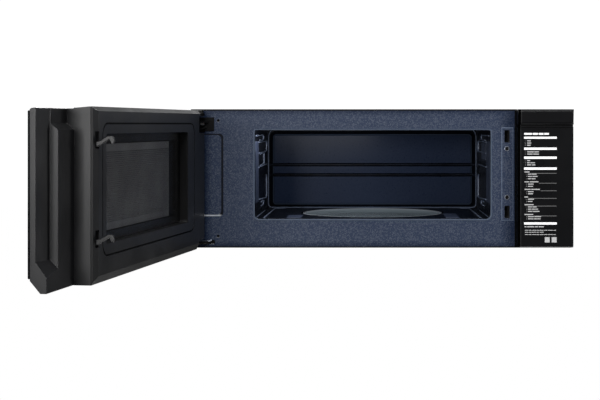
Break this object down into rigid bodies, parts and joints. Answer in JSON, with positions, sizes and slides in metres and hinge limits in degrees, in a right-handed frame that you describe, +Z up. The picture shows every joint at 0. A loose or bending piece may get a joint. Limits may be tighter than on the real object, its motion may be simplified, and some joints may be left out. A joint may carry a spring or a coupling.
{
  "type": "over the range microwave oven",
  "caption": "Slim over-the-range microwave oven: wide cabinet, side-hinged door with handle block and hooked latch key, turntable cavity and a column beside it.",
  "frame": {"origin": "middle of the wall mounting plate's rear face", "axes": "+X to the viewer's right, +Y into the wall, +Z up; the door stands open towards -Y on the left"},
  "size_m": [0.8935, 1.1623, 0.2775],
  "materials": {
    "black_steel": "satin black powder coat",
    "blue_enamel": "speckled navy enamel",
    "zinc_steel": "zinc-plated sheet",
    "aluminium": "bare",
    "copper_winding": "varnished winding and steel core",
    "black_plastic": "semi-gloss moulded",
    "inner_black_plastic": "matt moulded",
    "white_plastic": "matt moulded",
    "grey_plastic": "matt moulded",
    "circuit_board": "solder resist",
    "charcoal": "granules in a net",
    "mica": "mica sheet",
    "tray_glass": "pressed glass",
    "lens_glass": "frosted",
    "window_glass": "dark tinted, glossy",
    "black_glass": "black glossy"
  },
  "bodies": {
    "cabinet": {"outer_cabinet": "black_steel", "rear_panel": "zinc_steel", "base_plate": "black_steel", "wall_mounting_plate": "zinc_steel", "outlet_blanking_plate": "black_steel", "front_plate": "blue_enamel", "cavity_liner": "blue_enamel", "waveguide_cover": "mica", "waveguide": "zinc_steel", "magnetron": "aluminium", "high_voltage_transformer": "copper_winding", "high_voltage_capacitor": "aluminium", "cooling_fan_frame": "inner_black_plastic", "air_baffle": "zinc_steel", "charcoal_filter": "charcoal", "power_board": "circuit_board", "column_panel": "black_plastic", "filter_access_cover": "black_plastic", "latch_board": "white_plastic", "cavity_lamp": "white_plastic", "turntable_motor": "aluminium", "vent_scroll_front": "grey_plastic", "vent_scroll_rear": "grey_plastic", "vent_motor": "aluminium", "exhaust_duct": "zinc_steel", "hinge_bracket_top": "black_steel", "hinge_bracket_bottom": "black_steel", "hinge_pin_top": "zinc_steel", "hinge_pin_bottom": "zinc_steel", "interlock_switch_upper": "inner_black_plastic", "interlock_switch_lower": "inner_black_plastic", "latch_screw_upper": "zinc_steel", "latch_screw_lower": "zinc_steel", "grease_filter_left": "aluminium", "grease_filter_right": "aluminium", "cooktop_lens_left": "lens_glass", "cooktop_lens_right": "lens_glass", "cooktop_lamp_left": "white_plastic", "cooktop_lamp_right": "white_plastic"},
    "door": {"door_front_panel": "black_plastic", "door_front_glass": "black_glass", "door_frame": "black_steel", "door_screen": "black_steel", "inner_window": "window_glass", "choke_cover": "black_plastic", "touch_board": "circuit_board", "hinge_bush_top": "grey_plastic", "hinge_bush_bottom": "grey_plastic", "latch_spring": "zinc_steel"},
    "latch": {"latch_key": "black_plastic"},
    "turntable": {"turntable_glass": "tray_glass", "turntable_coupler": "white_plastic"},
    "rollers": {"roller_ring": "white_plastic"},
    "roller_1": {"roller_wheel_1": "white_plastic"},
    "roller_2": {"roller_wheel_2": "white_plastic"},
    "roller_3": {"roller_wheel_3": "white_plastic"},
    "cooling_fan": {"cooling_fan_rotor": "inner_black_plastic"},
    "vent_blower": {"vent_blower_rotor": "inner_black_plastic"},
    "upper_plunger": {"switch_plunger_upper": "white_plastic"},
    "lower_plunger": {"switch_plunger_lower": "white_plastic"}
  },
  "joints": [
    {"name": "door_hinge", "type": "hinge", "parent": "cabinet", "child": "door", "pos_m": [-0.3712, -0.4222, 0], "axis": [0, 0, -1], "range_deg": [-97.9, 7]},
    {"name": "latch_slide", "type": "slide", "parent": "door", "child": "latch", "axis": [0, 0, 1], "range_m": [0, 0.005], "stiffness_N_per_m": 300, "springref_m": -0.008, "deforming": ["latch_spring"]},
    {"name": "turntable_spin", "type": "hinge", "parent": "cabinet", "child": "turntable", "pos_m": [-0.017, -0.196, -0.09], "axis": [0, 0, 1], "continuous": true},
    {"name": "roller_ring_spin", "type": "hinge", "parent": "cabinet", "child": "rollers", "pos_m": [-0.017, -0.196, -0.1016], "axis": [0, 0, 1], "continuous": true},
    {"name": "roller_wheel_1_spin", "type": "hinge", "parent": "rollers", "child": "roller_1", "pos_m": [-0.017, -0.0972, -0.1016], "axis": [0, 1, 0], "continuous": true},
    {"name": "roller_wheel_2_spin", "type": "hinge", "parent": "rollers", "child": "roller_2", "pos_m": [-0.10256, -0.2454, -0.1016], "axis": [-0.866, -0.5, 0], "continuous": true},
    {"name": "roller_wheel_3_spin", "type": "hinge", "parent": "rollers", "child": "roller_3", "pos_m": [0.06856, -0.2454, -0.1016], "axis": [0.866, -0.5, 0], "continuous": true},
    {"name": "cooling_fan_spin", "type": "hinge", "parent": "cabinet", "child": "cooling_fan", "pos_m": [0.3092, -0.045, 0.0319], "axis": [0, 1, 0], "continuous": true},
    {"name": "vent_blower_spin", "type": "hinge", "parent": "cabinet", "child": "vent_blower", "pos_m": [-0.31675, -0.167, -0.0601], "axis": [0, 1, 0], "continuous": true},
    {"name": "upper_plunger_slide", "type": "slide", "parent": "cabinet", "child": "upper_plunger", "axis": [0, 1, 0], "range_m": [0, 0.0015], "stiffness_N_per_m": 200, "springref_m": -0.002},
    {"name": "lower_plunger_slide", "type": "slide", "parent": "cabinet", "child": "lower_plunger", "axis": [0, 1, 0], "range_m": [0, 0.0015], "stiffness_N_per_m": 200, "springref_m": -0.002}
  ],
  "couplings": [
    {"joint": "roller_ring_spin", "follows": "turntable_spin", "ratio": 0.5},
    {"joint": "roller_wheel_1_spin", "follows": "turntable_spin", "ratio": -7.841},
    {"joint": "roller_wheel_2_spin", "follows": "turntable_spin", "ratio": -7.841},
    {"joint": "roller_wheel_3_spin", "follows": "turntable_spin", "ratio": -7.841}
  ]
}
